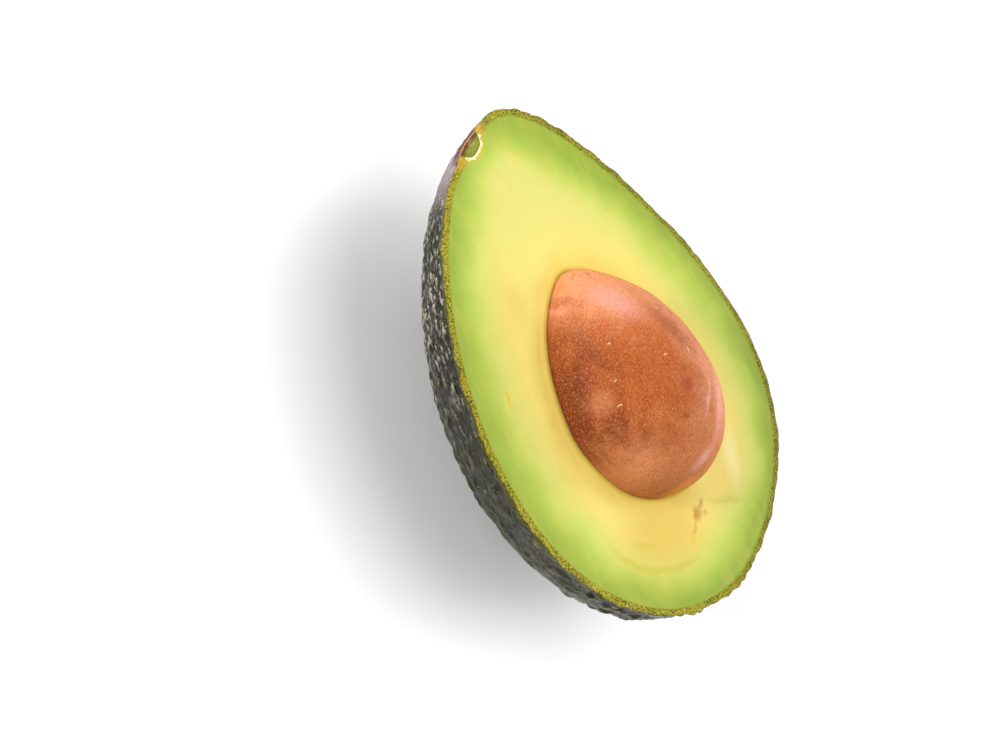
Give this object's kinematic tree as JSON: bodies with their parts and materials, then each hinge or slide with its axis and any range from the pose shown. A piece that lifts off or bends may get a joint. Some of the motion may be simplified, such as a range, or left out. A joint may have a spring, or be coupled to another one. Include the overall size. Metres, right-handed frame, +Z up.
{
  "type": "avocado half",
  "caption": "Half of a ripe, rough-skinned avocado cut lengthwise through the stem end, lying on its back with the cut face up and the seed in place.",
  "frame": {"origin": "on the resting plane, below the middle of the fruit's outline", "axes": "+X along the fruit to the blossom end, -X to the stem end, -Y to the side that the stem leans to, +Z up out of the cut face"},
  "size_m": [0.098, 0.0666, 0.048],
  "materials": {
    "skin": "satin",
    "flesh": "satin",
    "seed": "satin"
  },
  "bodies": {
    "root": {"skin": "skin", "flesh": "flesh", "seed": "seed"}
  },
  "joints": []
}
